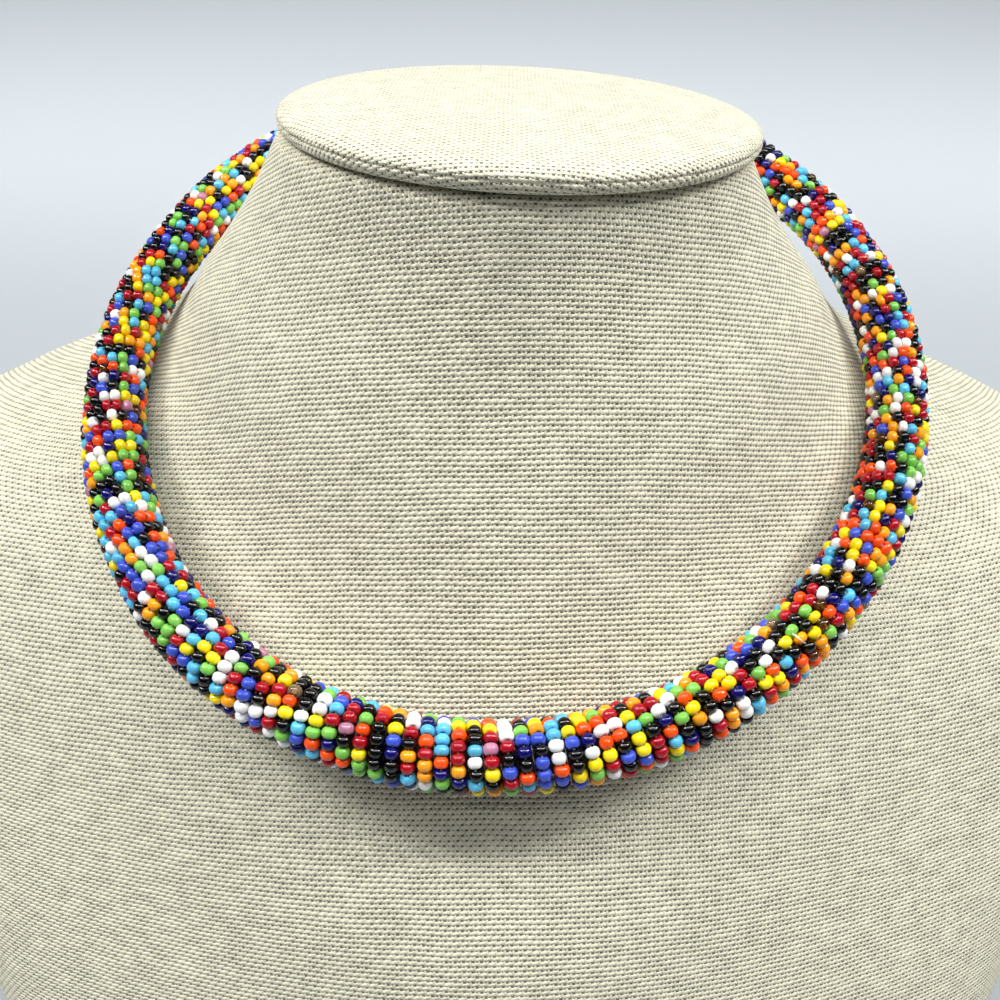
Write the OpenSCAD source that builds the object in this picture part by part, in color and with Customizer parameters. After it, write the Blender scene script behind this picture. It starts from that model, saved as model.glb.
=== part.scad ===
// Beaded rope collar necklace, lying on its linen-covered neck bust.
// Millimetres, +Z up, the chest faces -Y, the origin is on the floor at the middle of the outline.

/* [Beaded rope] */
// Outside diameter of the rope, over the beads
rope_d = 11.6; // [10:0.1:12]
// Diameter of one glass bead, which is the thickness of the beaded layer
bead_d = 2.3; // [1.8:0.1:2.6]
// Room left between the bead layer and the core cord
core_gap = 0.3; // [0.25:0.05:0.5]
// Half of the loop's width, to the middle of the rope
loop_half_w = 75; // [73:0.5:78]
// Bend radius of the rope at the two sides of the neck
side_bend = 94; // [90:1:110]
// Bend radius of the rope on the chest
front_bend = 68; // [64:1:72]
// Bend radius of the rope behind the neck
back_bend = 74; // [70:0.5:74.5]
// How far the loop rises from chest to nape, in degrees
loop_tilt = 23.2; // [22:0.2:25]
// How far the loop has slipped round in its own plane, in degrees
loop_skew = -9.6; // [-12:0.2:-6]

/* [Clasp] */
// Length of the plain barrel clasp
clasp_len = 20; // [16:1:30]
// Diameter of the barrel
clasp_d = 9.4; // [8.8:0.1:11]
// Depth to which each end of the core goes into the barrel
clasp_grip = 5; // [3:0.5:7]
// Rounding of the barrel's end rims
clasp_edge = 0.8; // [0.4:0.1:1]

/* [Neck bust] */
// Height of the form, from its flat base to the top of the neck
form_h = 188; // [182:1:192]
// Width of the form across the shoulders
form_w = 277; // [270:1:300]
// Bevel round the foot of the form
form_edge = 3; // [1:0.5:5]
// Diameter of the round cap on the neck
cap_d = 81; // [79:0.5:84]
// Thickness of the cap, which is also its rim roll
cap_t = 4.2; // [3.6:0.1:6]
// Seam between the cap and the neck
cap_seam = 0.3; // [0.2:0.05:0.5]
// How far the cap and the top of the neck lean towards +X, in degrees
cap_lean = 1.3; // [0:0.1:2]

/* [Hidden] */
$fn = 72;

// Middle of the loop, at the height of its widest place
loop_centre = [0.4, 11.4, 146];
// Middle of the cap on the neck, and the height from which the neck leans with it
cap_place = [0.8, 3.6];
lean_from = 150;

// The loop is four arcs that meet smoothly: two sides, the chest and the nape
side_shift = side_bend - loop_half_w;
front_shift = sqrt(pow(side_bend - front_bend, 2) - pow(side_shift, 2));
back_shift = sqrt(pow(side_bend - back_bend, 2) - pow(side_shift, 2));
front_turn = atan2(front_shift, side_shift);
back_turn = atan2(back_shift, side_shift);
nape_reach = back_shift + back_bend;

// The rope stops on each side of the clasp, and its core goes on into the barrel
end_gap = 0.3;
core_end_room = 0.4;
rope_stop = asin((clasp_len / 2 + end_gap) / (back_bend - rope_d / 2));
core_stop = asin((clasp_len / 2 - clasp_grip + end_gap) / (back_bend - rope_d / 2));
core_d = rope_d - 2 * bead_d - 2 * core_gap;
// The straight barrel lies halfway into the bend that the core makes inside it
clasp_drop = back_bend * (1 - (cos(core_stop) + cos(rope_stop)) / 2);
rope_sides = 16;
core_sides = 12;
ring_step = 9;

// Level sections of the form from the foot up, in millimetres, at the height and width it is drawn:
// [height, half width, chest, side, back, hollow]
// chest, side and back are places along Y; hollow is how far the section pulls in beside the throat
FORM = [
    [  3,   124, -92.8,    7, 72.5, 0.00],
    [ 22,   129, -92.8,   13,   79, 0.04],
    [ 48,   135, -89.3,   21, 86.5, 0.15],
    [ 73, 138.5, -81.4,   31, 92.3, 0.23],
    [ 93, 137.2, -70.7,   40, 92.5, 0.22],
    [110, 134.8, -61.1, 45.5,   88, 0.24],
    [122,   114, -55.4, 48.5,   83, 0.22],
    [131,  91.7, -51.4,   50,   78, 0.13],
    [140,  76.2, -47.9, 45.5, 72.8, 0.06],
    [149,  67.3, -44.4,   36, 67.8, 0.03],
    [158,  60.8, -41.2, 26.5, 62.2, 0.03],
    [167,  53.5, -38.9, 18.5, 56.3, 0.05],
    [177,  46.2,   -37,   11,   50, 0.05],
    [188,  39.6,   -36,  3.8, 43.6, 0.02]
];
drawn_h = FORM[len(FORM) - 1][0];
drawn_w = 2 * max([for (row = FORM) row[1]]);
levels_per_row = 2;
points_round = 64;

function smooth(a, b, c, d, t) =
    (2 * b + (c - a) * t + (2 * a - 5 * b + 4 * c - d) * t * t + (3 * b - a - 3 * c + d) * t * t * t) / 2;

function form_row(i) = FORM[min(max(i, 0), len(FORM) - 1)];

function form_level(i, t) = smooth(form_row(i - 1), form_row(i), form_row(i + 1), form_row(i + 2), t);

function form_depth(level, turn) =
    sin(turn) > 0
        ? level[4] - level[3]
        : (level[3] - level[2]) * (1 - level[5] * pow(sin(2 * turn), 2));

function form_lean(height) = tan(cap_lean) * max(0, (height - lean_from) / (drawn_h - lean_from));

function form_ring(level, inset = 0) = [
    for (k = [0 : points_round - 1])
        let (turn = 360 * k / points_round)
        let (x = (level[1] * form_w / drawn_w - inset) * cos(turn))
        [
            x,
            level[3] + (form_depth(level, turn) - inset) * sin(turn),
            level[0] * form_h / drawn_h - inset - x * form_lean(level[0])
        ]
];

// The arcs of the loop from one side of the clasp round to the other: [centre, bend, from, to]
function loop_arcs(stop) = [
    [[0, back_shift], back_bend, 90 - stop, back_turn],
    [[-side_shift, 0], side_bend, back_turn, -front_turn],
    [[0, -front_shift], front_bend, 360 - front_turn, 180 + front_turn],
    [[side_shift, 0], side_bend, 180 + front_turn, 180 - back_turn],
    [[0, back_shift], back_bend, 180 - back_turn, 90 + stop]
];

function arc_steps(arc) = ceil(arc[1] * (arc[2] - arc[3]) * PI / 180 / ring_step);

// One ring of points round the rope, where the arc's radius stands at the given turn
function rope_ring(arc, turn, r, sides) = [
    for (k = [0 : sides - 1])
        let (reach = arc[1] + r * cos(360 * k / sides))
        [arc[0][0] + reach * cos(turn), arc[0][1] + reach * sin(turn), r * sin(360 * k / sides)]
];

function rope_rings(stop, r, sides) =
    let (arcs = loop_arcs(stop), last = arcs[len(arcs) - 1])
    concat(
        [
            for (arc = arcs)
                let (steps = arc_steps(arc))
                for (i = [0 : steps - 1]) rope_ring(arc, arc[2] + (arc[3] - arc[2]) * i / steps, r, sides)
        ],
        [rope_ring(last, last[3], r, sides)]
    );

function reversed(list) = [for (i = [len(list) - 1 : -1 : 0]) list[i]];

// A closed skin over rings that hold the same number of points each, with flat ends or joined end to start
module ring_skin(rings, joined = false) {
    n = len(rings[0]);
    count = len(rings);
    sides = [
        for (r = [0 : joined ? count - 1 : count - 2], k = [0 : n - 1])
            let (a = r * n + k, b = r * n + (k + 1) % n)
            let (c = (a + n) % (count * n), d = (b + n) % (count * n))
            each [[a, d, b], [a, c, d]]
    ];
    first = [for (k = [0 : n - 1]) k];
    last = [for (k = [n - 1 : -1 : 0]) (count - 1) * n + k];
    points = [for (ring = rings) each ring];
    polyhedron(points, joined ? sides : concat(sides, [first, last]));
}

// Places its children, drawn in the loop's own flat plane
module on_loop() {
    translate(loop_centre)
        rotate([loop_tilt, 0, 0])
            rotate([0, 0, loop_skew])
                children();
}

module bust_form() {
    foot_ring = form_ring(form_row(0), form_edge);
    rings = [
        for (i = [0 : len(FORM) - 2], k = [0 : levels_per_row - 1])
            form_ring(form_level(i, k / levels_per_row))
    ];
    top_ring = form_ring(form_row(len(FORM) - 1));
    color("linen") ring_skin(concat([foot_ring], rings, [top_ring]));
}

module neck_cap() {
    rim = cap_t / 2;
    color("oldlace")
        translate([0, 0, form_h + cap_seam])
            rotate([0, cap_lean, 0])
                translate(cap_place)
                    rotate_extrude() {
                        square([cap_d / 2 - rim, cap_t]);
                        translate([cap_d / 2 - rim, rim])
                            intersection() {
                                circle(rim);
                                translate([0, -rim])
                                    square([rim, cap_t]);
                            }
                    }
}

module rope_core() {
    color("saddlebrown")
        on_loop()
            ring_skin(rope_rings(core_stop, core_d / 2, core_sides));
}

module bead_rope() {
    outside = rope_rings(rope_stop, rope_d / 2, rope_sides);
    inside = rope_rings(rope_stop, rope_d / 2 - bead_d, rope_sides);
    color("royalblue")
        on_loop()
            ring_skin(concat(outside, reversed(inside)), joined = true);
}

module clasp() {
    half = clasp_len / 2;
    bore_d = core_d + 2 * core_end_room;
    color("silver")
        on_loop()
            translate([0, nape_reach - clasp_drop, 0])
                rotate([0, 90, 0])
                    difference() {
                        rotate_extrude()
                            polygon([
                                [0, -half],
                                [clasp_d / 2 - clasp_edge, -half],
                                [clasp_d / 2, -half + clasp_edge],
                                [clasp_d / 2, half - clasp_edge],
                                [clasp_d / 2 - clasp_edge, half],
                                [0, half]
                            ]);
                        for (side = [-1, 1])
                            translate([0, 0, side * (half - clasp_grip / 2)])
                                cylinder(d = bore_d, h = clasp_grip + end_gap, center = true);
                    }
}

bust_form();
neck_cap();
rope_core();
bead_rope();
clasp();
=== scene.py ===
from math import asin, atan2, ceil, cos, pi, radians, sin, sqrt, tan

import bpy
import numpy as np
from bpy.props import FloatProperty, FloatVectorProperty, IntProperty, PointerProperty
from mathutils import Matrix, Vector


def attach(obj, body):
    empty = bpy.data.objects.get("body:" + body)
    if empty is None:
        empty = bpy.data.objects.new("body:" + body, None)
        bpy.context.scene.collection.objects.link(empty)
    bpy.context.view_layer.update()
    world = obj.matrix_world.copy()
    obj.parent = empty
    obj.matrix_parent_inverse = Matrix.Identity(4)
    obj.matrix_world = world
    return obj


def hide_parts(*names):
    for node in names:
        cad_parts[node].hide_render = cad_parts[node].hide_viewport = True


bl_info = {
    "name": "Beaded Rope Collar on a Neck Bust",
    "version": (1, 0, 0),
    "blender": (4, 5, 0),
    "location": "View3D > Sidebar > Collar",
    "description": "Builds the glass beads, thread, cord, linen and studio round the packed frame",
    "category": "Add Mesh",
}

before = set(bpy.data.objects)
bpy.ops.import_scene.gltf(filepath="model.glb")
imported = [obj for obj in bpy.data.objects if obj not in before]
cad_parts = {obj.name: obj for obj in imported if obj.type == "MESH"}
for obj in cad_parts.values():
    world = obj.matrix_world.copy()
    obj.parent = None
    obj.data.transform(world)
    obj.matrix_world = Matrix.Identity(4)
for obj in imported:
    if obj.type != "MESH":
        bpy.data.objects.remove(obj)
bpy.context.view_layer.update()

MM = 0.001
BODY = "root"


def linear(code):
    """Turns an sRGB hex colour into the linear red, green, blue and alpha that Blender works in"""
    parts = [int(code[i:i + 2], 16) / 255 for i in (1, 3, 5)]
    return [c / 12.92 if c <= 0.04045 else ((c + 0.055) / 1.055) ** 2.4 for c in parts] + [1.0]


# Kinds of drawn glass seed bead: name, colour, how many of a hundred, and how the glass is made
GLASS = [
    ("black", "#060506", 18.0, "opaque"),
    ("dark_red", "#a30d1c", 13.0, "opaque"),
    ("orange_red", "#f24c08", 9.0, "opaque"),
    ("yellow", "#f3d60c", 10.0, "opaque"),
    ("amber", "#f39a12", 8.5, "opaque"),
    ("white", "#f2f2f0", 11.0, "opaque"),
    ("sky_blue", "#57b6de", 9.0, "opaque"),
    ("royal_blue", "#3a50c0", 7.0, "opaque"),
    ("navy", "#0e0c5c", 6.5, "opaque"),
    ("green", "#78bd4e", 9.0, "opaque"),
    ("pink", "#d58fae", 0.8, "pearl"),
    ("brown", "#7a4a16", 1.4, "foil"),
    ("sand", "#c9ad86", 0.6, "clear"),
]


class GlassColours(bpy.types.PropertyGroup):
    """Colour of each kind of glass bead"""
    __annotations__ = {
        name: FloatVectorProperty(
            name=name.replace("_", " ").capitalize(),
            description="Colour of the " + name.replace("_", " ") + " glass",
            subtype="COLOR", size=4, min=0.0, max=1.0, default=linear(code))
        for name, code, _, _ in GLASS
    }


class BeadSettings(bpy.types.PropertyGroup):
    """Sizes of the beads and of the strand that winds round the cord"""
    diameter: FloatProperty(
        name="Bead diameter", description="Mean width of a bead across its hole",
        default=2.4 * MM, min=1.9 * MM, max=2.6 * MM, unit="LENGTH", precision=5)
    length: FloatProperty(
        name="Bead length", description="Mean length of a bead along its hole",
        default=1.79 * MM, min=1.4 * MM, max=2.1 * MM, unit="LENGTH", precision=5)
    spread: FloatProperty(
        name="Size spread", description="How much the beads differ in size, as a share of it",
        default=0.055, min=0.0, max=0.1, subtype="FACTOR")
    winding: FloatProperty(
        name="Winding", description="Distance along the rope from one turn of the strand to the next",
        default=2.4 * MM, min=2.3 * MM, max=2.6 * MM, unit="LENGTH", precision=5)
    seed: IntProperty(
        name="Order", description="Number that sets the order of the colours", default=11, min=0)


class LinenSettings(bpy.types.PropertyGroup):
    """Colour and weave of the cloth on the form"""
    colour: FloatVectorProperty(
        name="Flax", description="Colour of the linen thread",
        subtype="COLOR", size=4, min=0.0, max=1.0, default=linear("#e8e3ca"))
    warp: FloatProperty(
        name="Upright thread", description="Distance between the upright threads",
        default=0.71 * MM, min=0.4 * MM, max=1.2 * MM, unit="LENGTH", precision=5)
    weft: FloatProperty(
        name="Level thread", description="Distance between the level threads",
        default=0.85 * MM, min=0.4 * MM, max=1.2 * MM, unit="LENGTH", precision=5)


class StageSettings(bpy.types.PropertyGroup):
    """Camera and light"""
    lens: FloatProperty(
        name="Lens", description="Focal length of the camera",
        default=37.8, min=20.0, max=90.0, unit="CAMERA")
    sweep: FloatVectorProperty(
        name="Sweep", description="Colour of the paper behind and below",
        subtype="COLOR", size=4, min=0.0, max=1.0, default=linear("#abb0b4"))
    overhead_bar: FloatProperty(
        name="Overhead bar", description="Brightness of the long light overhead",
        default=30.0, min=0.0, max=100.0)
    side_strips: FloatProperty(
        name="Side strips", description="Brightness of the strip lights at both sides",
        default=84.0, min=0.0, max=200.0)
    front_strip: FloatProperty(
        name="Front strip", description="Brightness of the strip light in front",
        default=8.0, min=0.0, max=100.0)
    backdrop_light: FloatProperty(
        name="Backdrop light", description="Brightness of the light on the paper behind the form",
        default=1.6, min=0.0, max=10.0)


# Materials


def new_material(name):
    """An empty node material, and its tree"""
    material = bpy.data.materials.new(name)
    material.use_nodes = True
    material.node_tree.nodes.clear()
    return material, material.node_tree


def add(tree, kind, links=None, out=0, **settings):
    """Adds a node, gives it its settings, links or fills its inputs, and returns one of its outputs"""
    node = tree.nodes.new(kind)
    for name, value in settings.items():
        setattr(node, name, value)
    for name, value in (links or {}).items():
        if isinstance(value, bpy.types.NodeSocket):
            tree.links.new(value, node.inputs[name])
        else:
            node.inputs[name].default_value = value
    return node.outputs[out] if len(node.outputs) else None


def plain_woven_linen(name, settings, bright):
    """Unbleached flax in plain weave. Each thread rises over one and dips under the next, so the cloth
    shows short raised floats with a hole at every corner, and slubs where the yarn is thick. Painted shade
    darkens the holes, the low flanks of the yarn and the upright floats"""
    material, tree = new_material(name)
    uv = add(tree, "ShaderNodeUVMap", out="UV", uv_map="weave")
    # Stretched cloth is never quite square: threads wander by about a fifth of a millimetre over 15 mm
    wander = add(tree, "ShaderNodeTexNoise", {"Vector": uv, "Scale": 0.065, "Detail": 2.0}, out="Color")
    wander = add(tree, "ShaderNodeVectorMath", {0: wander, 1: (0.5, 0.5, 0.5)}, operation="SUBTRACT")
    wander = add(tree, "ShaderNodeVectorMath", {0: wander, 1: (1.0, 0.8, 0.0)}, operation="MULTIPLY")
    place = add(tree, "ShaderNodeVectorMath", {0: uv, 1: wander}, operation="ADD")
    per_mm = (MM / settings.warp, MM / settings.weft, 0.0)
    threads = add(tree, "ShaderNodeVectorMath", {0: place, 1: per_mm}, operation="MULTIPLY")
    cell = add(tree, "ShaderNodeVectorMath", {0: threads}, operation="FLOOR")
    local = add(tree, "ShaderNodeVectorMath", {0: threads}, operation="FRACTION")
    local = add(tree, "ShaderNodeVectorMath", {0: local, 1: (0.5, 0.5, 0.0)}, operation="SUBTRACT")
    column, row = (add(tree, "ShaderNodeSeparateXYZ", {0: cell}, out=side) for side in "XY")
    across, up = (add(tree, "ShaderNodeSeparateXYZ", {0: local}, out=side) for side in "XY")
    far, down = (add(tree, "ShaderNodeSeparateXYZ", {0: place}, out=side) for side in "XY")
    # Which of the two threads lies on top, as 1 or -1
    both = add(tree, "ShaderNodeMath", {0: column, 1: row}, operation="ADD")
    odd = add(tree, "ShaderNodeMath", {0: both, 1: 2.0}, operation="FLOORED_MODULO")
    top = add(tree, "ShaderNodeMath", {0: odd, 1: -2.0, 2: 1.0}, operation="MULTIPLY_ADD")
    # For the upright and the level threads: the yarn's least and greatest width as a share of the spacing,
    # its mean height, how far its twist turns a float, and 1 or -1 for which of the two it is
    heights, tones = [], []
    for number, run, along, beside, thin, thick, rest, turn, sign in (
            (column, down, up, across, 0.52, 0.78, 0.52, -0.11, 1.0),
            (row, far, across, up, 0.66, 0.94, 0.70, -0.10, -1.0)):
        # Slubs: the yarn's thickness changes every few millimetres, and from thread to thread
        number = add(tree, "ShaderNodeMath", {0: number, 1: 7.31}, operation="MULTIPLY")
        run = add(tree, "ShaderNodeMath", {0: run, 1: 0.22}, operation="MULTIPLY")
        spot = add(tree, "ShaderNodeCombineXYZ", {"X": number, "Y": run, "Z": 9.0 * sign})
        slub = add(tree, "ShaderNodeTexNoise", {"Vector": spot, "Scale": 1.0, "Detail": 1.5})
        tones.append(slub)
        width = add(tree, "ShaderNodeMapRange", {
            "Value": slub, "From Min": 0.3, "From Max": 0.72, "To Min": thin / 2, "To Max": thick / 2},
            out="Result")
        # The twist of the yarn makes each float lie a little askew
        quarter = add(tree, "ShaderNodeMath", {0: along, 1: pi}, operation="MULTIPLY")
        half = add(tree, "ShaderNodeMath", {0: quarter, 1: 2.0}, operation="MULTIPLY")
        askew = add(tree, "ShaderNodeMath", {0: half}, operation="SINE")
        askew = add(tree, "ShaderNodeMath", {0: askew, 1: top}, operation="MULTIPLY")
        off = add(tree, "ShaderNodeMath", {0: askew, 1: turn, 2: beside}, operation="MULTIPLY_ADD")
        off = add(tree, "ShaderNodeMath", {0: off, 1: width}, operation="DIVIDE")
        off = add(tree, "ShaderNodeMath", {0: off, 1: off}, operation="MULTIPLY")
        off = add(tree, "ShaderNodeMath", {0: 1.0, 1: off}, operation="SUBTRACT")
        off = add(tree, "ShaderNodeMath", {0: off, 1: 0.0}, operation="MAXIMUM")
        round_top = add(tree, "ShaderNodeMath", {0: off}, operation="SQRT")
        wave = add(tree, "ShaderNodeMath", {0: quarter}, operation="COSINE")
        wave = add(tree, "ShaderNodeMath", {0: wave, 1: top}, operation="MULTIPLY")
        lift = add(tree, "ShaderNodeMath", {0: wave, 1: 0.36 * sign, 2: rest}, operation="MULTIPLY_ADD")
        heights.append(add(tree, "ShaderNodeMath", {0: round_top, 1: lift}, operation="MULTIPLY"))
    height = add(tree, "ShaderNodeMath", {0: heights[0], 1: heights[1]}, operation="MAXIMUM")
    upright = add(tree, "ShaderNodeMath", {0: heights[0], 1: heights[1]}, operation="GREATER_THAN")
    # Fine fibres of the yarn, about 0.12 mm thick, which its twist lays aslant
    slant = add(tree, "ShaderNodeMapping", {
        "Vector": place, "Rotation": (0, 0, radians(35)), "Scale": (0.12, 0.5, 1.0)},
        vector_type="TEXTURE")
    fibre = add(tree, "ShaderNodeTexNoise", {"Vector": slant, "Scale": 1.0, "Detail": 2.0})
    height = add(tree, "ShaderNodeMath", {0: fibre, 1: 0.20, 2: height}, operation="MULTIPLY_ADD")
    tone = add(tree, "ShaderNodeMath", {0: tones[0], 1: tones[1]}, operation="ADD")
    tone = add(tree, "ShaderNodeMapRange", {
        "Value": tone, "From Min": 0.7, "From Max": 1.3, "To Min": 0.5, "To Max": 1.0}, out="Result")
    # Painted shade: where the upright thread lies on top, its float takes the darker end of the yarn's
    # colours, as it catches less of the light from above than the level floats
    tone = add(tree, "ShaderNodeMath", {0: upright, 1: -0.5, 2: tone}, operation="MULTIPLY_ADD")
    # bright scales the whole colour of the cloth; below 1 it paints shade into a darker copy of the linen
    base = Vector(settings.colour[:3]) * bright
    yarn = add(tree, "ShaderNodeMix", {0: tone, 6: (*(base * 0.78), 1.0), 7: (*(base * 1.1), 1.0)},
               out=2, data_type="RGBA")
    # Painted shade: the colour darkens to a tenth of the flax where the yarn lies low, in the holes at the
    # corners and down the flanks of the threads
    depth = add(tree, "ShaderNodeMapRange", {
        "Value": height, "From Min": 0.1, "From Max": 0.52, "To Min": 0.0, "To Max": 1.0},
        out="Result", interpolation_type="SMOOTHSTEP")
    shade = add(tree, "ShaderNodeMix", {0: depth, 6: (*(base * 0.11), 1.0), 7: yarn},
                out=2, data_type="RGBA")
    bump = add(tree, "ShaderNodeBump", {
        "Height": height, "Strength": 1.0, "Distance": 0.31 * MM}, out="Normal")
    cloth = add(tree, "ShaderNodeBsdfPrincipled", {
        "Base Color": shade, "Normal": bump, "Roughness": 0.88, "IOR": 1.5,
        "Specular IOR Level": 0.2, "Sheen Weight": 0.1, "Sheen Roughness": 0.5})
    add(tree, "ShaderNodeOutputMaterial", {"Surface": cloth})
    return material


def drawn_glass(name, colour, make):
    """Drawn and fire-polished glass: a smooth skin that mirrors the lights as short crisp bars. Opaque
    glass shows its own colour, pearl glass is cloudy, and clear or foil-lined glass lets light in"""
    material, tree = new_material(name)
    bead = add(tree, "ShaderNodeAttribute", out="Fac", attribute_name="bead_tone")
    base = Vector(colour[:3])
    glass = add(tree, "ShaderNodeMix", {0: bead, 6: (*(base * 0.85), 1.0), 7: (*(base * 1.1), 1.0)},
                out=2, data_type="RGBA")
    # Faint waves of the polished skin, about 0.5 mm across
    at = add(tree, "ShaderNodeTexCoord", out="Object")
    waves = add(tree, "ShaderNodeTexNoise", {"Vector": at, "Scale": 2000.0, "Detail": 1.0})
    bump = add(tree, "ShaderNodeBump", {
        "Height": waves, "Strength": 0.05, "Distance": 0.03 * MM}, out="Normal")
    values = {"Base Color": glass, "Normal": bump, "Roughness": 0.03, "IOR": 1.52}
    if make == "pearl":
        values |= {"Transmission Weight": 0.35, "Roughness": 0.16, "Coat Weight": 0.5}
    if make == "clear":
        values |= {"Transmission Weight": 0.75}
    if make == "foil":
        values |= {"Transmission Weight": 0.8, "Roughness": 0.05}
    add(tree, "ShaderNodeOutputMaterial", {"Surface": add(tree, "ShaderNodeBsdfPrincipled", values)})
    return material


def gilt_foil():
    """Gilt lining of a bead's hole: bright metal that glints through the brown glass"""
    material, tree = new_material("Gilt_foil_lining")
    at = add(tree, "ShaderNodeTexCoord", out="Object")
    grain = add(tree, "ShaderNodeTexNoise", {"Vector": at, "Scale": 5000.0})
    bump = add(tree, "ShaderNodeBump", {
        "Height": grain, "Strength": 0.5, "Distance": 0.03 * MM}, out="Normal")
    metal = add(tree, "ShaderNodeBsdfPrincipled", {
        "Base Color": linear("#e8c476"), "Metallic": 1.0, "Roughness": 0.25, "Normal": bump})
    add(tree, "ShaderNodeOutputMaterial", {"Surface": metal})
    return material


def waxed_thread(name, code):
    """Twisted nylon beading thread: thin, smooth and a little shiny, so that it glints in the gaps"""
    material, tree = new_material(name)
    at = add(tree, "ShaderNodeTexCoord", out="Object")
    twist = add(tree, "ShaderNodeTexWave", {"Vector": at, "Scale": 900.0, "Distortion": 2.0}, out="Fac")
    base = Vector(linear(code)[:3])
    ply = add(tree, "ShaderNodeMix", {0: twist, 6: (*(base * 0.75), 1.0), 7: (*base, 1.0)},
              out=2, data_type="RGBA")
    nylon = add(tree, "ShaderNodeBsdfPrincipled", {"Base Color": ply, "Roughness": 0.3, "IOR": 1.53})
    add(tree, "ShaderNodeOutputMaterial", {"Surface": nylon})
    return material


def twisted_cotton(name, code):
    """Laid cotton cord, soft, dull and fibrous, near black as painted shade for the gaps between beads"""
    material, tree = new_material(name)
    at = add(tree, "ShaderNodeTexCoord", out="Object")
    fibre = add(tree, "ShaderNodeTexNoise", {"Vector": at, "Scale": 2500.0, "Detail": 3.0})
    base = Vector(linear(code)[:3])
    painted_shade_fibres = add(tree, "ShaderNodeMix", {0: fibre, 6: (*(base * 0.6), 1.0), 7: (*(base * 1.5), 1.0)},
              out=2, data_type="RGBA")
    bump = add(tree, "ShaderNodeBump", {
        "Height": fibre, "Strength": 0.8, "Distance": 0.1 * MM}, out="Normal")
    cotton = add(tree, "ShaderNodeBsdfPrincipled", {
        "Base Color": painted_shade_fibres, "Normal": bump, "Roughness": 0.9, "IOR": 1.5, "Sheen Weight": 0.1})
    add(tree, "ShaderNodeOutputMaterial", {"Surface": cotton})
    return material


def brushed_steel():
    """Stainless steel barrel, turned and brushed round its axis: satin, with fine rings 0.15 mm apart"""
    material, tree = new_material("Brushed_stainless_steel")
    at = add(tree, "ShaderNodeTexCoord", out="Object")
    lines = add(tree, "ShaderNodeMapping", {"Vector": at, "Scale": (6500.0, 300.0, 300.0)})
    grain = add(tree, "ShaderNodeTexNoise", {"Vector": lines, "Scale": 1.0, "Detail": 3.0})
    rough = add(tree, "ShaderNodeMapRange", {
        "Value": grain, "From Min": 0.3, "From Max": 0.7, "To Min": 0.24, "To Max": 0.42}, out="Result")
    tint = add(tree, "ShaderNodeMapRange", {
        "Value": grain, "From Min": 0.3, "From Max": 0.7, "To Min": 0.55, "To Max": 0.72}, out="Result")
    colour = add(tree, "ShaderNodeCombineColor", {"Red": tint, "Green": tint, "Blue": tint})
    bump = add(tree, "ShaderNodeBump", {
        "Height": grain, "Strength": 0.35, "Distance": 0.02 * MM}, out="Normal")
    steel = add(tree, "ShaderNodeBsdfPrincipled", {
        "Base Color": colour, "Metallic": 1.0, "Roughness": rough, "Normal": bump})
    add(tree, "ShaderNodeOutputMaterial", {"Surface": steel})
    return material


def sweep_paper(colour):
    """Matt background paper: even, pale and without gloss"""
    material, tree = new_material("Matt_background_paper")
    at = add(tree, "ShaderNodeTexCoord", out="Object")
    cloud = add(tree, "ShaderNodeTexNoise", {"Vector": at, "Scale": 1.5, "Detail": 2.0})
    base = Vector(colour[:3])
    pulp = add(tree, "ShaderNodeMix", {0: cloud, 6: (*(base * 0.98), 1.0), 7: (*(base * 1.02), 1.0)},
               out=2, data_type="RGBA")
    paper = add(tree, "ShaderNodeBsdfPrincipled", {
        "Base Color": pulp, "Roughness": 0.95, "Specular IOR Level": 0.1})
    add(tree, "ShaderNodeOutputMaterial", {"Surface": paper})
    return material


# Meshes


def mesh_object(name, points, faces, materials):
    """A smooth mesh object from arrays of points and faces"""
    mesh = bpy.data.meshes.new(name)
    mesh.from_pydata(np.asarray(points, float).tolist(), [], faces)
    mesh.polygons.foreach_set("use_smooth", [True] * len(mesh.polygons))
    for material in materials:
        mesh.materials.append(material)
    thing = bpy.data.objects.new(name, mesh)
    bpy.context.scene.collection.objects.link(thing)
    return thing


def tube_faces(rings, sides, joined=False):
    """Quads between rings of points, which run anticlockwise when seen against the way the rings go"""
    r = np.arange(rings if joined else rings - 1)[:, None]
    k = np.arange(sides)[None]
    a, b = r * sides + k, r * sides + (k + 1) % sides
    c, d = (a + sides) % (rings * sides), (b + sides) % (rings * sides)
    return np.stack([a, b, d, c], -1).reshape(-1, 4)


def piece(thing, replaces=None):
    """Makes a finished object ride on the frame, and hides the frame's part that it stands for"""
    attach(thing, BODY)
    if replaces:
        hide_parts(replaces)
    return thing


# The rope's loop, as part.scad has it, in metres and radians

LOOP_CENTRE = Vector((0.4, 11.4, 146)) * MM
LOOP_TILT = radians(23.2)
LOOP_SKEW = radians(-9.6)
HALF_WIDTH = 75 * MM
SIDE_BEND = 94 * MM
FRONT_BEND = 68 * MM
BACK_BEND = 74 * MM
ROPE_RADIUS = 5.8 * MM
CORE_RADIUS = 3.2 * MM
STRAND_RADIUS = 4.65 * MM
CLASP_HALF = 10 * MM
CLASP_GRIP = 5 * MM
END_GAP = 0.3 * MM


def end_turn(reach):
    """Angle at the nape between the middle of the clasp and a place that far along from it"""
    return asin((reach + END_GAP) / (BACK_BEND - ROPE_RADIUS))


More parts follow.
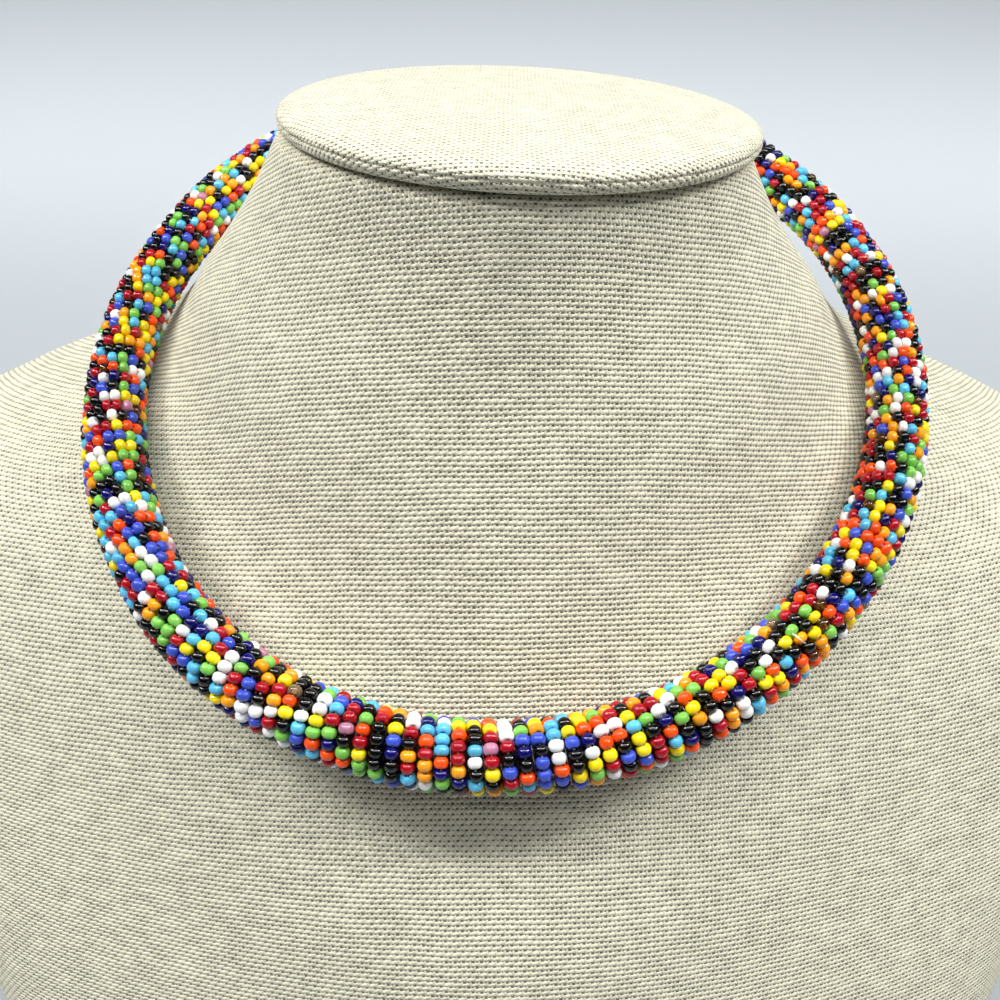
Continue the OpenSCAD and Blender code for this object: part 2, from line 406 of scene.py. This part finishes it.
def loop_arcs(stop):
    """The five arcs of the loop from one side of the clasp round to the other: centre, bend, from, to"""
    side = SIDE_BEND - HALF_WIDTH
    front = sqrt((SIDE_BEND - FRONT_BEND) ** 2 - side ** 2)
    back = sqrt((SIDE_BEND - BACK_BEND) ** 2 - side ** 2)
    front_turn, back_turn = atan2(front, side), atan2(back, side)
    return [
        ((0, back), BACK_BEND, pi / 2 - stop, back_turn),
        ((-side, 0), SIDE_BEND, back_turn, -front_turn),
        ((0, -front), FRONT_BEND, 2 * pi - front_turn, pi + front_turn),
        ((side, 0), SIDE_BEND, pi + front_turn, pi - back_turn),
        ((0, back), BACK_BEND, pi - back_turn, pi / 2 + stop),
    ]


def loop_length(arcs):
    """Length of the rope's middle line over these arcs"""
    return sum(bend * (start - end) for _, bend, start, end in arcs)


def loop_frames(arcs, along):
    """At distances along the loop: the rope's middle, the way out from the neck, and the way up, as rows"""
    spans = [bend * (start - end) for _, bend, start, end in arcs]
    begin = np.concatenate([[0], np.cumsum(spans)[:-1]])
    index = np.searchsorted(begin, along, side="right").clip(1, len(arcs)) - 1
    centre = np.array([[*arc[0], 0] for arc in arcs])[index]
    bend = np.array([arc[1] for arc in arcs])[index]
    turn = np.array([arc[2] for arc in arcs])[index] - (along - begin[index]) / bend
    out = np.stack([np.cos(turn), np.sin(turn), np.zeros_like(turn)], -1)
    placed = np.array(Matrix.Rotation(LOOP_TILT, 3, "X") @ Matrix.Rotation(LOOP_SKEW, 3, "Z"))
    middle = (centre + bend[:, None] * out) @ placed.T + np.array(LOOP_CENTRE)
    up = np.broadcast_to(placed[:, 2], middle.shape)
    return middle, out @ placed.T, up


class Winding:
    """The one strand of beads that winds round and round the cord"""

    def __init__(self, pitch):
        self.arcs = loop_arcs(end_turn(CLASP_HALF))
        self.pitch = pitch
        self.margin = 0.6 * pitch
        self.length = loop_length(self.arcs)
        self.last = 2 * pi * (self.length - 2 * self.margin) / pitch

    def at(self, turn):
        """Middle of the strand, and of the rope, at total turns in radians"""
        turn = np.atleast_1d(np.asarray(turn, float))
        along = self.margin + self.pitch * turn / (2 * pi)
        # The turns lean back a little more on the sides of the neck than on the chest
        chest = np.exp(-(((along - self.length / 2) / (40 * MM)) ** 2))
        lean = 0.34 * MM * (1 - 0.8 * chest) + 0.12 * MM * np.sin(along / (13 * MM))
        shift = lean * (np.sin(turn - radians(60)) + 0.3 * np.sin(2 * turn + along / (9 * MM)))
        along = (along + shift).clip(0, self.length)
        middle, out, up = loop_frames(self.arcs, along)
        reach = STRAND_RADIUS + 0.07 * MM * np.sin(along / (7 * MM) + 2 * turn)
        around = np.cos(turn)[:, None] * out + np.sin(turn)[:, None] * up
        return middle + reach[:, None] * around, middle

    def axes(self, turn):
        """Bead places, and their three axes: along the rope, out from it, and along the strand's hole"""
        place, middle = self.at(turn)
        hole = self.at(turn + 0.02)[0] - self.at(turn - 0.02)[0]
        hole /= np.linalg.norm(hole, axis=1, keepdims=True)
        out = place - middle
        out -= (out * hole).sum(1, keepdims=True) * hole
        out /= np.linalg.norm(out, axis=1, keepdims=True)
        return place, np.stack([np.cross(out, hole), out, hole], -1)


# Outline of half a bead as share of its length and share of its width: hole, rounded end, side
BEAD_OUTLINE = [
    (-0.40, 0.24), (-0.50, 0.42), (-0.425, 0.69), (-0.27, 0.905), (0.0, 1.0),
    (0.27, 0.905), (0.425, 0.69), (0.50, 0.42), (0.40, 0.24),
]
BEAD_SIDES = 12


def bead_template():
    """Points of one bead of unit length and width, ring by ring, and its faces"""
    turn = 2 * pi * np.arange(BEAD_SIDES) / BEAD_SIDES
    rings = [
        np.stack([share / 2 * np.cos(turn), share / 2 * np.sin(turn), np.full(BEAD_SIDES, along)], -1)
        for along, share in BEAD_OUTLINE
    ]
    return np.concatenate(rings), tube_faces(len(rings), BEAD_SIDES, joined=True)


def tube(name, path, radius, sides, materials):
    """A closed round tube along a line of points"""
    path = np.asarray(path, float)
    ahead = np.gradient(path, axis=0)
    ahead /= np.linalg.norm(ahead, axis=1, keepdims=True)
    side = np.cross(ahead, (0.0, 0.0, 1.0))
    flat = np.linalg.norm(side, axis=1) < 0.05
    side[flat] = np.cross(ahead[flat], (1.0, 0.0, 0.0))
    side /= np.linalg.norm(side, axis=1, keepdims=True)
    up = np.cross(side, ahead)
    turn = 2 * pi * np.arange(sides) / sides
    points = path[:, None] + radius * (
        np.cos(turn)[None, :, None] * side[:, None] - np.sin(turn)[None, :, None] * up[:, None])
    faces = tube_faces(len(path), sides).tolist()
    faces += [list(range(sides))[::-1], [(len(path) - 1) * sides + k for k in range(sides)]]
    return mesh_object(name, points.reshape(-1, 3), faces, materials)


# The form's level sections, as part.scad has them, in millimetres from the foot up:
# height, half width, places of chest, side and back along Y, and how far the throat is hollow
FORM = np.array([
    (3, 124, -92.8, 7, 72.5, 0.00), (22, 129, -92.8, 13, 79, 0.04),
    (48, 135, -89.3, 21, 86.5, 0.15), (73, 138.5, -81.4, 31, 92.3, 0.23),
    (93, 137.2, -70.7, 40, 92.5, 0.22), (110, 134.8, -61.1, 45.5, 88, 0.24),
    (122, 114, -55.4, 48.5, 83, 0.22), (131, 91.7, -51.4, 50, 78, 0.13),
    (140, 76.2, -47.9, 45.5, 72.8, 0.06), (149, 67.3, -44.4, 36, 67.8, 0.03),
    (158, 60.8, -41.2, 26.5, 62.2, 0.03), (167, 53.5, -38.9, 18.5, 56.3, 0.05),
    (177, 46.2, -37, 11, 50, 0.05), (188, 39.6, -36, 3.8, 43.6, 0.02),
])
LAST_ROW = len(FORM) - 1
CAP_LEAN = radians(1.3)
LEAN = tan(CAP_LEAN)
LEAN_FROM = 150
FOOT_EDGE = 3
NECK_EDGE = 1.3
# How far in under the cap the rows of the turned-in cloth lie
TURN_IN = (4.0, 9.0, 18.0, 28.0)
SHOULDER = 130
# The cover is two panels, sewn together a little behind the sides, where the seams are out of sight
SEAM = radians(16)


def form_level(place):
    """A section between two rows of the form's table, on a smooth curve through the rows"""
    i = min(int(place), LAST_ROW - 1)
    t = place - i
    a, b, c, d = (FORM[min(max(i + k, 0), LAST_ROW)] for k in (-1, 0, 1, 2))
    return (2 * b + (c - a) * t + (2 * a - 5 * b + 4 * c - d) * t ** 2
            + (3 * b - a - 3 * c + d) * t ** 3) / 2


def form_ring(level, turns, inset=0.0, drop=0.0):
    """Points round the form at one level, in metres"""
    height, half, chest, side, back, hollow = level
    x = (half - inset) * np.cos(turns)
    reach = np.where(
        np.sin(turns) > 0, back - side, (side - chest) * (1 - hollow * np.sin(2 * turns) ** 2))
    y = side + (reach - inset) * np.sin(turns)
    top = FORM[-1][0]
    z = height - drop - x * LEAN * max(0.0, (height - LEAN_FROM) / (top - LEAN_FROM))
    return np.stack([x, y, np.broadcast_to(z, x.shape)], -1) * MM


def set_weave(thing, places):
    """Writes the cloth's thread places, in millimetres, into the UV map that the linen reads"""
    layer = thing.data.uv_layers.new(name="weave")
    layer.data.foreach_set("uv", np.asarray(places, np.float32).ravel())


def front_panel_places(points, across):
    """Places in the front panel, in millimetres across and down the cloth. The panel is stretched on from
    in front, so its level threads drop towards the back of the neck and rise towards the shoulders"""
    front = np.array([1.5 * pi])
    line = np.array([form_ring(form_level(place), front)[0] for place in np.linspace(0, LAST_ROW, 180)])
    line /= MM
    drop = np.concatenate([[0], np.cumsum(np.linalg.norm(np.diff(line, axis=0), axis=1))])
    heights = np.concatenate([[line[0, 2] - 100], line[:, 2], [line[-1, 2] + 100]])
    drops = np.concatenate([[drop[-1] + 100], drop[-1] - drop, [-100]])
    x, y, z = points[..., 0], points[..., 1], points[..., 2]
    part, wide = z / FORM[-1][0], (x / SHOULDER) ** 2
    chest = np.interp(z, line[:, 2], line[:, 1])
    # How far a level thread falls for each millimetre back from the chest, less so up high and far out
    fall = 0.78 - 0.34 * part - 0.23 * wide
    # The panel is also sewn on a little askew, and its cloth is drawn together far out
    level = z + (y - chest) * fall - 0.035 * x
    across = across * (1 - 0.25 * wide) - 0.029 * np.interp(z, heights, drops)
    return np.stack([across, np.interp(level, heights, drops)], -1)


def grid_faces(rows, columns):
    """Quads of a grid whose last column joins the first, and their corners as row and column"""
    r, k = np.meshgrid(np.arange(rows - 1), np.arange(columns), indexing="ij")
    corners = [(r, k), (r, k + 1), (r + 1, k + 1), (r + 1, k)]
    faces = np.stack([a * columns + b % columns for a, b in corners], -1).reshape(-1, 4)
    spots = np.stack([np.stack([a, b], -1) for a, b in corners], 2).reshape(-1, 2)
    return faces, spots


# Operators


class COLLAR_OT_linen_form(bpy.types.Operator):
    """Covers the neck, chest and shoulders with linen: a front panel, a back panel and their two seams"""
    bl_idname = "collar.linen_form"
    bl_label = "Linen form"

    def execute(self, context):
        # Places round the form, close together beside the seams, which lie in a fold 0.35 mm deep
        close = np.radians([0.0, 0.25, 0.6, 1.2])
        turns, fold = [], []
        for start, end, count in ((pi - SEAM, 2 * pi + SEAM, 151), (2 * pi + SEAM, 3 * pi - SEAM, 93)):
            panel = np.linspace(start + 2 * close[-1], end - 2 * close[-1], count)
            panel = np.concatenate([start + close, panel, end - close[:0:-1]])
            turns.append(panel)
            beside = np.minimum(panel - start, end - panel)
            fold.append(np.interp(beside, close, [0.35, 0.27, 0.08, 0.0]))
        front_columns = len(turns[0])
        turns, fold = np.concatenate(turns), np.concatenate(fold)
        foot = FORM[0]
        top = FORM[-1]
        rows = [(foot, FOOT_EDGE * (1 - sin(a)), FOOT_EDGE * cos(a))
                for a in np.linspace(0.0, pi / 2, 4)[:-1]]
        steps = np.concatenate([np.arange(0, 3, 1 / 10), np.arange(3, LAST_ROW - 1 / 8, 1 / 14)])
        rows += [(form_level(place), fold, 0.0) for place in steps]
        # The cloth turns in round the top of the neck, under the cap
        rows += [(top, NECK_EDGE * (1 - cos(a)), NECK_EDGE * (1 - sin(a)))
                 for a in np.linspace(0.0, pi / 2, 6)]
        rows += [(top, inset, 0.0) for inset in TURN_IN]
        rings = np.array([form_ring(level, turns, inset, drop) for level, inset, drop in rows])
        # Lengths round the form are taken without the hollow, where the cloth is pulled straight across
        full = np.array([
            form_ring([*level[:5], 0.0], turns, inset, drop) for level, inset, drop in rows])
        rows, columns = rings.shape[:2]
        faces, spots = grid_faces(rows, columns)
        faces = faces.tolist()
        faces += [list(range(columns))[::-1], [(rows - 1) * columns + k for k in range(columns)]]
        cloth = mesh_object("linen_form", rings.reshape(-1, 3), faces, [
            plain_woven_linen("Plain_woven_linen", context.scene.collar_linen, 1.0)])
        closed = np.concatenate([rings, rings[:, :1]], 1) / MM
        full = np.concatenate([full, full[:, :1]], 1) / MM
        around = np.cumsum(np.linalg.norm(np.diff(full, axis=1), axis=2), 1)
        around = np.concatenate([np.zeros((rows, 1)), around], 1)
        down = np.cumsum(np.linalg.norm(np.diff(closed, axis=0), axis=2), 0)
        down = np.concatenate([np.zeros((1, columns + 1)), down], 0)
        middle = (front_columns + columns) // 2
        rim = rows - 1 - len(TURN_IN)
        back = np.stack([around - around[:, middle:middle + 1], down[rim:rim + 1] - down], -1)
        middle = front_columns // 2
        front = front_panel_places(closed, around - around[:, middle:middle + 1])
        in_front = np.repeat(spots[::4, 1] < front_columns, 4)[:, None]
        places = np.where(in_front, front[spots[:, 0], spots[:, 1]], back[spots[:, 0], spots[:, 1]])
        flat = np.concatenate([closed[0, :-1][::-1, :2], closed[-1, :-1, :2]])
        set_weave(cloth, np.concatenate([places, flat]))
        piece(cloth, "bust_form")
        return {"FINISHED"}


CAP_RADIUS = 40.5
CAP_HEIGHT = 4.2
CAP_CROWN = 0.8
# Rounding of the underside's edge, height of the tuck's upper lip, and width of the roll above it
CAP_EDGE = 2.1
CAP_LIP = 2.4
CAP_ROLL = 4.6
CAP_PLACE = np.array([0.8, 3.6, 0.0])
CAP_FOOT = 188.3


class COLLAR_OT_linen_cap(bpy.types.Operator):
    """Puts the padded linen cap on the neck, with the roll and tuck round its rim"""
    bl_idname = "collar.linen_cap"
    bl_label = "Linen cap"

    def execute(self, context):
        columns = 240
        turns = 2 * pi * np.arange(columns) / columns
        # Outline from the middle of the underside over the rim to the middle of the top: out, up, tuck
        outline = [(r, 0.0, 0.0) for r in (2.0, 14.0, 26.0, 34.0, 37.5)]
        outline += [(CAP_RADIUS - CAP_EDGE + CAP_EDGE * sin(a), 1.7 - 1.7 * cos(a), 0.0)
                    for a in np.linspace(0.15, pi / 2, 7)]
        outline += [(CAP_RADIUS, up, tuck) for up, tuck in (
            (1.85, 0.25), (1.98, 0.8), (2.08, 1.0), (2.18, 0.8), (2.3, 0.25))]
        rise = CAP_HEIGHT - CAP_LIP
        outline += [(CAP_RADIUS - CAP_ROLL * (1 - cos(a)), CAP_LIP + rise * sin(a), 0.0)
                    for a in np.linspace(0.0, pi / 2, 12)]
        flat_top = CAP_RADIUS - CAP_ROLL
        outline += [(r, CAP_HEIGHT + CAP_CROWN * (1 - (r / flat_top) ** 2), 0.0)
                    for r in (33.0, 29.0, 24.0, 18.0, 12.0, 6.0, 2.0)]
        outline = np.array(outline)
        # The tuck is deep at the two ends of the rim and all but gone at its front
        deep = 0.10 + 0.42 * np.abs(np.cos(turns)) ** 2.5
        reach = outline[:, :1] - outline[:, 2:] * deep[None]
        points = np.stack([
            reach * np.cos(turns), reach * np.sin(turns), np.repeat(outline[:, 1:2], columns, 1)], -1)
        rows = len(outline)
        faces, spots = grid_faces(rows, columns)
        faces = faces.tolist()
        faces += [list(range(columns))[::-1], [(rows - 1) * columns + k for k in range(columns)]]
        lean = Matrix.Rotation(CAP_LEAN, 3, "Y")
        placed = (points + CAP_PLACE).reshape(-1, 3) @ np.array(lean).T + (0.0, 0.0, CAP_FOOT)
        # The cap's copy of the linen is painted a twentieth darker, as painted shade against the stronger
        # light on its top
        cap = mesh_object("linen_cap", placed * MM, faces, [
            plain_woven_linen("Plain_woven_linen_cap", context.scene.collar_linen, 0.95)])
        # The cloth is flat on top and is pulled down over the rim
        steps = np.linalg.norm(np.diff(outline[:, :2], axis=0), axis=1)
        span = np.concatenate([[0], np.cumsum(steps)])
        span = span[-1] - span + outline[-1, 0]
        flat = np.stack([span[:, None] * np.cos(turns), span[:, None] * np.sin(turns)], -1)
        places = flat[spots[:, 0], spots[:, 1] % columns]
        set_weave(cap, np.concatenate([places, flat[0, ::-1], flat[-1]]))
        piece(cap, "neck_cap")
        return {"FINISHED"}


class COLLAR_OT_core_cord(bpy.types.Operator):
    """Lays the three-strand cord that the beads are wound on"""
    bl_idname = "collar.core_cord"
    bl_label = "Core cord"

    def execute(self, context):
        arcs = loop_arcs(end_turn(CLASP_HALF - CLASP_GRIP))
        sides, lay = 24, 15 * MM
        along = np.linspace(0, loop_length(arcs), 330)
        middle, out, up = loop_frames(arcs, along)
        turn = -2 * pi * np.arange(sides) / sides
        strand = np.abs(np.cos(1.5 * (turn[None] - 2 * pi * along[:, None] / lay)))
        reach = CORE_RADIUS - 0.45 * MM * (1 - strand ** 0.6)
        points = middle[:, None] + reach[..., None] * (
            np.cos(turn)[None, :, None] * out[:, None] + np.sin(turn)[None, :, None] * up[:, None])
        faces = tube_faces(len(along), sides).tolist()
        faces += [list(range(sides))[::-1], [(len(along) - 1) * sides + k for k in range(sides)]]
        # The cord's near-black colour is painted shade, which keeps the gaps between the beads dark
        cord = mesh_object("core_cord", points.reshape(-1, 3), faces, [
            twisted_cotton("Laid_cotton_cord", "#2a211b")])
        piece(cord, "rope_core")
        return {"FINISHED"}


class COLLAR_OT_glass_beads(bpy.types.Operator):
    """Strings the glass seed beads on one strand wound round the cord, a mesh for each colour"""
    bl_idname = "collar.glass_beads"
    bl_label = "Glass beads"

    def execute(self, context):
        beads, colours = context.scene.collar_beads, context.scene.collar_glass
        draw = np.random.default_rng(beads.seed)
        winding = Winding(beads.winding)
        weights = np.array([share for _, _, share, _ in GLASS])
        turn, places, lengths = 0.0, [], []
        length = beads.length
        while turn < winding.last:
            share = 1 + beads.spread * draw.standard_normal()
            following = beads.length * min(max(share, 0.82), 1.2)
            places.append(turn)
            lengths.append(length)
            turn += (length + following) / 2 / STRAND_RADIUS
            length = following
        count = len(places)
        lengths = np.array(lengths)
        widths = beads.diameter * (1 + beads.spread * 0.7 * draw.standard_normal(count).clip(-1.8, 1.2))
        kinds = draw.choice(len(GLASS), count, p=weights / weights.sum())
        tones = draw.random(count)
        middle, axes = winding.axes(np.array(places))
        # Beads sit a little askew on the thread
        askew = radians(4.0) * draw.standard_normal((count, 2)).clip(-2, 2)
        spin = draw.random(count) * 2 * pi
        middle += axes[:, :, 1] * (0.07 * MM * draw.standard_normal(count).clip(-2.0, 0.8))[:, None]
        middle += axes[:, :, 0] * (0.05 * MM * draw.standard_normal(count).clip(-2, 2))[:, None]
        points, faces = bead_template()
        (ca, cb), (sa, sb) = np.cos(askew.T), np.sin(askew.T)
        x, y = points[:, 0] * widths[:, None], points[:, 1] * widths[:, None]
        x, y = (x * np.cos(spin)[:, None] - y * np.sin(spin)[:, None],
                x * np.sin(spin)[:, None] + y * np.cos(spin)[:, None])
        z = points[:, 2] * lengths[:, None]
        x, z = x * ca[:, None] + z * sa[:, None], z * ca[:, None] - x * sa[:, None]
        y, z = y * cb[:, None] + z * sb[:, None], z * cb[:, None] - y * sb[:, None]
        placed = middle[:, None] + np.einsum("nij,npj->npi", axes, np.stack([x, y, z], -1))
        for index, (name, _, _, make) in enumerate(GLASS):
            own = np.flatnonzero(kinds == index)
            skin = faces[None] + (np.arange(len(own)) * len(points))[:, None, None]
            glass = drawn_glass(f"Drawn_glass_{name}", getattr(colours, name), make)
            materials = [glass, gilt_foil()] if make == "foil" else [glass]
            thing = mesh_object(
                f"beads_{name}", placed[own].reshape(-1, 3), skin.reshape(-1, 4).tolist(), materials)
            if make == "foil":
                lining = np.zeros((len(own), len(BEAD_OUTLINE), BEAD_SIDES), int)
                lining[:, -1] = 1
                thing.data.polygons.foreach_set("material_index", lining.ravel())
            tone = thing.data.attributes.new("bead_tone", "FLOAT", "POINT")
            tone.data.foreach_set("value", np.repeat(tones[own], len(points)).astype(np.float32))
            piece(thing, "bead_rope")
        return {"FINISHED"}


class COLLAR_OT_bead_thread(bpy.types.Operator):
    """Runs the thread through the holes of the beads"""
    bl_idname = "collar.bead_thread"
    bl_label = "Bead thread"

    def execute(self, context):
        winding = Winding(context.scene.collar_beads.winding)
        nylon = waxed_thread("Twisted_nylon_thread", "#f4f0e4")
        steps = ceil(winding.last / (2 * pi) * 22)
        path = winding.at(np.linspace(0, winding.last, steps))[0]
        piece(tube("bead_thread", path, 0.2 * MM, 4, [nylon]))
        # The sewing thread runs half a turn on, between the rows of beads. It dips into the cord between
        # stitches, so it shows in some of the gaps only
        turns = np.linspace(0, winding.last, ceil(winding.last / (2 * pi) * 16))
        place, middle = winding.at(turns)
        stitch = np.maximum(0.0, np.sin(0.61 * turns + 0.9 * np.sin(0.23 * turns)))
        share = 0.62 + 0.24 * stitch ** 2
        piece(tube("sewing_thread", middle - (place - middle) * share[:, None], 0.1 * MM, 3, [nylon]))
        # A cut end lies over the beads at the right of the chest, and a hair of yarn sticks out above it
        end = np.array([
            (45.4, -51.2, 124.9), (45.9, -52.4, 125.15), (46.4, -52.9, 125.0), (46.9, -53.1, 124.6)])
        piece(tube("thread_end", end * MM, 0.11 * MM, 6, [nylon]))
        hair = np.array([
            (76.8, -6.1, 142.4), (78.2, -6.2, 142.5), (79.4, -6.2, 142.5), (80.8, -6.3, 142.45)])
        piece(tube("stray_fibre", hair * MM, 0.05 * MM, 5, [waxed_thread("Flax_fibre", "#6e675a")]))
        return {"FINISHED"}


class COLLAR_OT_clasp(bpy.types.Operator):
    """Finishes the barrel clasp of the frame in brushed steel"""
    bl_idname = "collar.clasp"
    bl_label = "Clasp"

    def execute(self, context):
        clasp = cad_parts["clasp"]
        clasp.data.materials.clear()
        clasp.data.materials.append(brushed_steel())
        return {"FINISHED"}


class COLLAR_OT_stage(bpy.types.Operator):
    """Sets up the paper sweep, the lights and the camera"""
    bl_idname = "collar.stage"
    bl_label = "Stage"

    def execute(self, context):
        stage = context.scene.collar_stage
        # Paper that lies flat, then bends up behind
        profile = [(-2.4, 0.0)] + [(y, 0.0) for y in np.linspace(-2.0, 0.6, 8)]
        profile += [(0.6 + 0.7 * sin(a), 0.7 * (1 - cos(a))) for a in np.linspace(0.1, pi / 2, 16)]
        profile += [(1.3, 2.6)]
        points = [(x, y, z - 0.0002) for y, z in profile for x in (-3.0, 3.0)]
        faces = [(2 * i, 2 * i + 1, 2 * i + 3, 2 * i + 2) for i in range(len(profile) - 1)]
        paper = mesh_object("paper_sweep", points, faces, [sweep_paper(stage.sweep)])

        world = bpy.data.worlds.new("Studio")
        context.scene.world = world
        world.use_nodes = True
        world.node_tree.nodes.clear()
        sky = add(world.node_tree, "ShaderNodeBackground", {
            "Color": linear("#e4eaf2"), "Strength": 0.05})
        add(world.node_tree, "ShaderNodeOutputWorld", {"Surface": sky})

        # A long bar overhead gives the thin bright line on each bead and the dark shadow under the rope,
        # strips at both ends of it turn the line up at its ends, and a weak one in front fills the neck.
        # The last one has a narrow spread, and lights the paper behind the form.
        # For each: name, place, what it is aimed at, size, spread in degrees, and brightness
        chest, side = (0.0, -0.02, 0.12), (0.0, 0.05, 0.12)
        lights = [
            ("bar_overhead", (0.0, -0.14, 0.7), chest, (1.5, 0.05), 180, stage.overhead_bar),
            ("strip_left", (-0.95, 0.05, 0.98), side, (0.08, 0.4), 180, stage.side_strips),
            ("strip_right", (0.95, 0.05, 0.98), side, (0.08, 0.4), 180, stage.side_strips),
            ("strip_front", (0.0, -0.55, 0.98), chest, (1.9, 0.05), 180, stage.front_strip),
            ("backdrop", (0.0, 0.72, 0.9), (0.0, 0.72, 0.0), (1.8, 0.4), 60, stage.backdrop_light),
        ]
        for name, place, target, size, spread, glow in lights:
            lamp = bpy.data.lights.new(name, "AREA")
            lamp.shape = "RECTANGLE"
            lamp.size, lamp.size_y = size
            lamp.energy = glow * pi * size[0] * size[1]
            lamp.spread = radians(spread)
            thing = bpy.data.objects.new(name, lamp)
            thing.location = place
            aim = Vector(target) - thing.location
            thing.rotation_euler = aim.to_track_quat("-Z", "Y").to_euler()
            context.scene.collection.objects.link(thing)

        camera = bpy.data.cameras.new("camera")
        camera.lens, camera.sensor_width = stage.lens, 36.0
        eye = bpy.data.objects.new("camera", camera)
        down, roll = radians(31.8), radians(1.4)
        eye.matrix_world = (
            Matrix.Translation((-0.001, -0.1815, 0.229))
            @ Matrix.Rotation(pi / 2 - down, 4, "X") @ Matrix.Rotation(roll, 4, "Z"))
        context.scene.collection.objects.link(eye)
        context.scene.camera = eye
        context.scene.view_settings.view_transform = "Standard"
        return {"FINISHED"}


OPERATORS = [
    COLLAR_OT_stage, COLLAR_OT_linen_form, COLLAR_OT_linen_cap, COLLAR_OT_core_cord,
    COLLAR_OT_glass_beads, COLLAR_OT_bead_thread, COLLAR_OT_clasp,
]
GROUPS = {
    "collar_glass": GlassColours, "collar_beads": BeadSettings,
    "collar_linen": LinenSettings, "collar_stage": StageSettings,
}


class COLLAR_PT_panel(bpy.types.Panel):
    """Sizes and colours of the collar, and the buttons that build it"""
    bl_idname = "COLLAR_PT_panel"
    bl_label = "Beaded Collar"
    bl_space_type = "VIEW_3D"
    bl_region_type = "UI"
    bl_category = "Collar"

    def draw(self, context):
        for group in GROUPS:
            settings = getattr(context.scene, group)
            for name in settings.bl_rna.properties.keys():
                if name not in {"rna_type", "name"}:
                    self.layout.prop(settings, name)
        for operator in OPERATORS:
            self.layout.operator(operator.bl_idname)


CLASSES = [*GROUPS.values(), *OPERATORS, COLLAR_PT_panel]


def register():
    for kind in CLASSES:
        bpy.utils.register_class(kind)
    for name, group in GROUPS.items():
        setattr(bpy.types.Scene, name, PointerProperty(type=group))


def unregister():
    for name in GROUPS:
        delattr(bpy.types.Scene, name)
    for kind in reversed(CLASSES):
        bpy.utils.unregister_class(kind)


def main():
    register()
    for operator in OPERATORS:
        group, name = operator.bl_idname.split(".")
        getattr(getattr(bpy.ops, group), name)()


if __name__ == "__main__":
    main()
